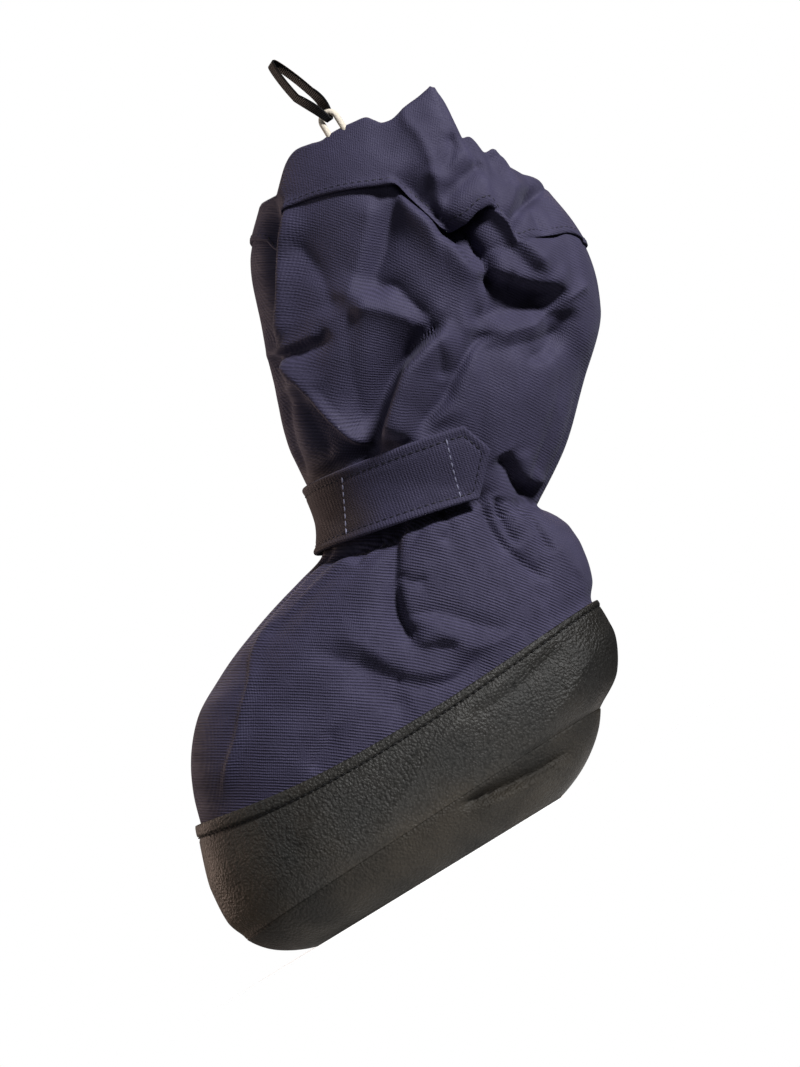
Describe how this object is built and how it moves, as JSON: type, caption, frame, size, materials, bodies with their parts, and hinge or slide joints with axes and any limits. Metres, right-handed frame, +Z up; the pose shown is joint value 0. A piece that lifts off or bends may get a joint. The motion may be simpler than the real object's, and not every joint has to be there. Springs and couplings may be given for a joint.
{
  "type": "toddler winter bootie",
  "caption": "Soft toddler's winter bootie: ribbed navy cloth upper with a slack drawstring shaft, pointed ankle strap, black grained rand and soft sole.",
  "frame": {"origin": "on the floor, under the middle of the foot, on the flat underside of the sole", "axes": "+X to the toe, +Y to the outer side of a left foot, +Z up the shaft"},
  "size_m": [0.2113, 0.0732, 0.2452],
  "materials": {
    "navy_cloth": "fine-ribbed woven navy cloth, matt with a slight sheen",
    "shaft_cloth": "the same ribbed cloth, slack above the ankle's elastic",
    "strap_cloth": "the same ribbed cloth, doubled and topstitched",
    "black_grain": "black coated cloth with a pebbled grain, satin",
    "sole_grain": "black grained soft sole, worn dull and a little dusty",
    "dark_fleece": "dark brushed fleece",
    "cream_elastic": "woven cream elastic",
    "black_ribbon": "black woven ribbon with raised edges"
  },
  "bodies": {
    "root": {"outsole": "sole_grain", "insole": "dark_fleece", "upper": "navy_cloth", "shaft": "shaft_cloth", "rand": "black_grain", "strap": "strap_cloth", "drawcord": "cream_elastic", "pull_loop": "black_ribbon"}
  },
  "joints": []
}
